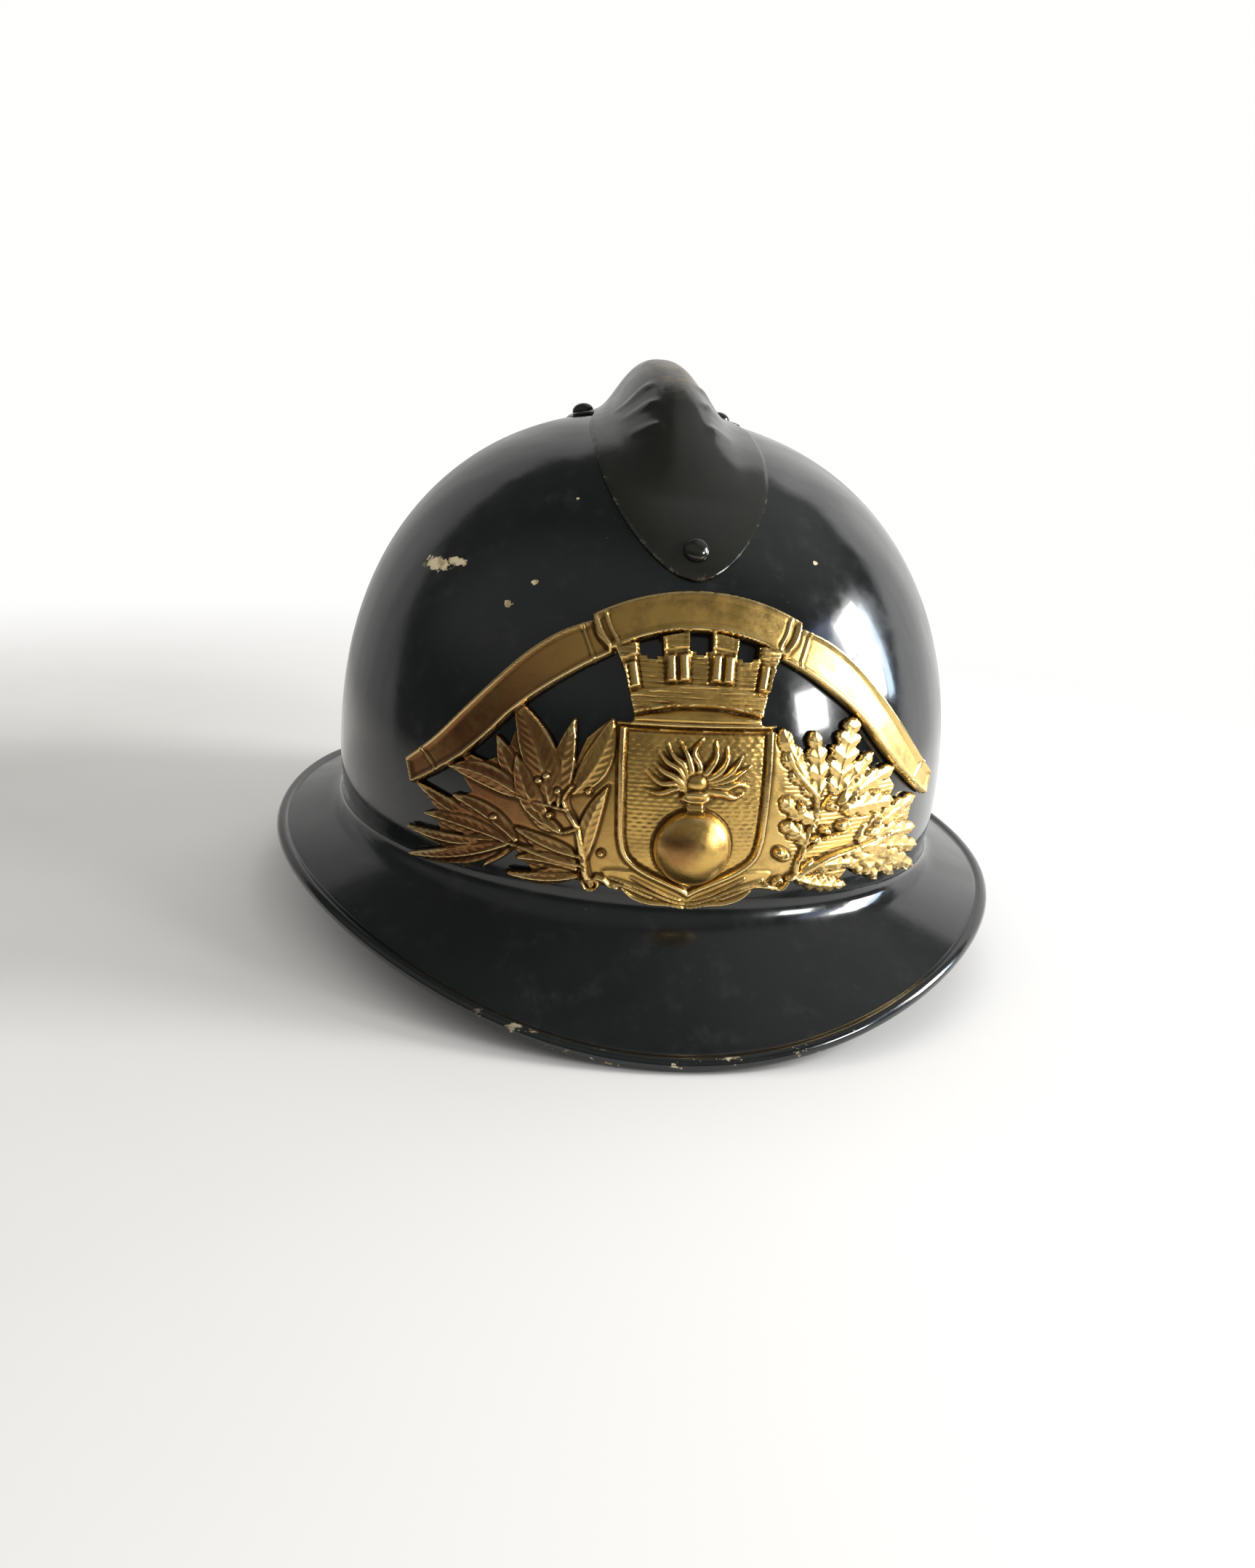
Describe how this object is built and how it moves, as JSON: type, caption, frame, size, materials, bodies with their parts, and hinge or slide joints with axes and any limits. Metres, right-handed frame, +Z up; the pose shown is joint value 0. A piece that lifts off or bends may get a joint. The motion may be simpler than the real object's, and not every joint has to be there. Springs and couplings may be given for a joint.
{
  "type": "firefighter helmet",
  "caption": "Pressed steel firefighter helmet with rolled brim, riveted comb crest, brass front badge, laced leather liner and hinged chin strap.",
  "frame": {"origin": "on the surface the helmet stands on, under the middle of the shell", "axes": "+Z up, the front of the helmet towards -Y, +Y towards the back, +X towards the wearer's left as seen facing it from the front"},
  "size_m": [0.2316, 0.2894, 0.1696],
  "materials": {
    "shell_enamel": "gloss blue-black stoved enamel with chips",
    "crest_enamel": "satin black enamel, rubbed on the ridge",
    "badge_brass": "pressed brass with brown patina",
    "liner_leather": "brown lining leather",
    "felt": "grey wool felt",
    "lace_cotton": "twisted cotton lace",
    "strap_leather": "dark waxed leather",
    "plated_steel": "dull nickel plate",
    "plain_steel": "tinned steel",
    "spacer_aluminium": "plain rolled sheet"
  },
  "bodies": {
    "helmet": {"badge": "badge_brass", "badge_tab_left": "badge_brass", "badge_tab_right": "badge_brass", "crest": "crest_enamel", "crest_rivet_front": "crest_enamel", "crest_rivet_left": "crest_enamel", "crest_rivet_rear": "crest_enamel", "crest_rivet_right": "crest_enamel", "crest_washer_front": "plain_steel", "crest_washer_left": "plain_steel", "crest_washer_rear": "plain_steel", "crest_washer_right": "plain_steel", "felt_band": "felt", "hanger_rivet_left": "shell_enamel", "hanger_rivet_right": "shell_enamel", "hanger_washer_left": "plain_steel", "hanger_washer_right": "plain_steel", "liner_band": "liner_leather", "liner_clip_front": "plain_steel", "liner_clip_left": "plain_steel", "liner_clip_rear": "plain_steel", "liner_clip_right": "plain_steel", "liner_lace": "lace_cotton", "liner_tongue_1": "liner_leather", "liner_tongue_2": "liner_leather", "liner_tongue_3": "liner_leather", "liner_tongue_4": "liner_leather", "liner_tongue_5": "liner_leather", "liner_tongue_6": "liner_leather", "liner_tongue_7": "liner_leather", "shell": "shell_enamel", "spacer_front": "spacer_aluminium", "spacer_left": "spacer_aluminium", "spacer_rear": "spacer_aluminium", "spacer_right": "spacer_aluminium"},
    "strap": {"strap_hanger_left": "plated_steel", "strap_hanger_right": "plated_steel", "chin_strap": "strap_leather", "chin_strap_tail": "strap_leather"},
    "buckle": {"slider_buckle": "plated_steel"}
  },
  "joints": [
    {"name": "strap_swing", "type": "hinge", "parent": "helmet", "child": "strap", "pos_m": [0, 0.005, 0.036], "axis": [-1, 0, 0], "range_deg": [0, 95]},
    {"name": "buckle_slide", "type": "slide", "parent": "strap", "child": "buckle", "axis": [1, 0, 0], "range_m": [-0.014, 0.008]}
  ]
}
